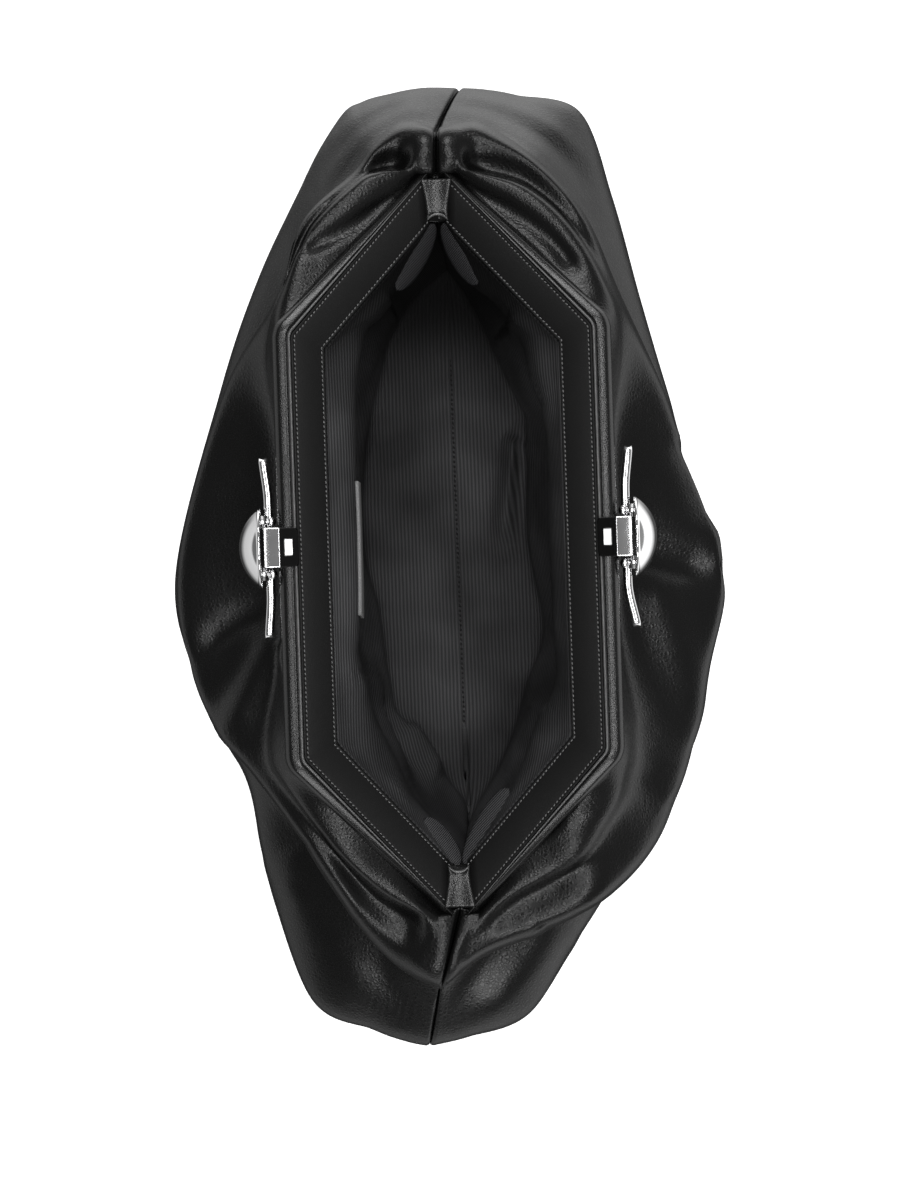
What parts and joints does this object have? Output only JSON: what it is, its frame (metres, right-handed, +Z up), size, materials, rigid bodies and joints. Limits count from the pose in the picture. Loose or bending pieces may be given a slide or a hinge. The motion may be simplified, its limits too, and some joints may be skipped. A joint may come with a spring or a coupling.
{
  "type": "frame clutch bag",
  "caption": "Soft black leather frame clutch standing open on its base, with a hinged six-sided mouth, ribbed lining and polished metal clasp.",
  "frame": {"origin": "centre of the bag's footprint, on the surface it stands on", "axes": "+X along the bag's length, +Y across it towards the back, +Z up"},
  "size_m": [0.3542, 0.2006, 0.1286],
  "materials": {
    "body_leather": "soft grained nappa, satin",
    "frame_leather": "smooth, satin",
    "facing_leather": "smooth, matt",
    "lining_cloth": "ribbed weave",
    "clasp_metal": "polished",
    "label_patch": "bare, matt"
  },
  "bodies": {
    "root": {"body_front": "body_leather", "body_back": "body_leather", "lining_front": "lining_cloth", "lining_back": "lining_cloth", "frame_front": "frame_leather", "frame_back": "frame_leather", "facing_front": "facing_leather", "facing_back": "facing_leather", "hinge_tab_a": "frame_leather", "hinge_tab_b": "frame_leather", "clasp_bracket_front": "clasp_metal", "clasp_bracket_back": "clasp_metal", "clasp_ornament_front": "clasp_metal", "clasp_ornament_back": "clasp_metal", "label": "label_patch"}
  },
  "joints": []
}
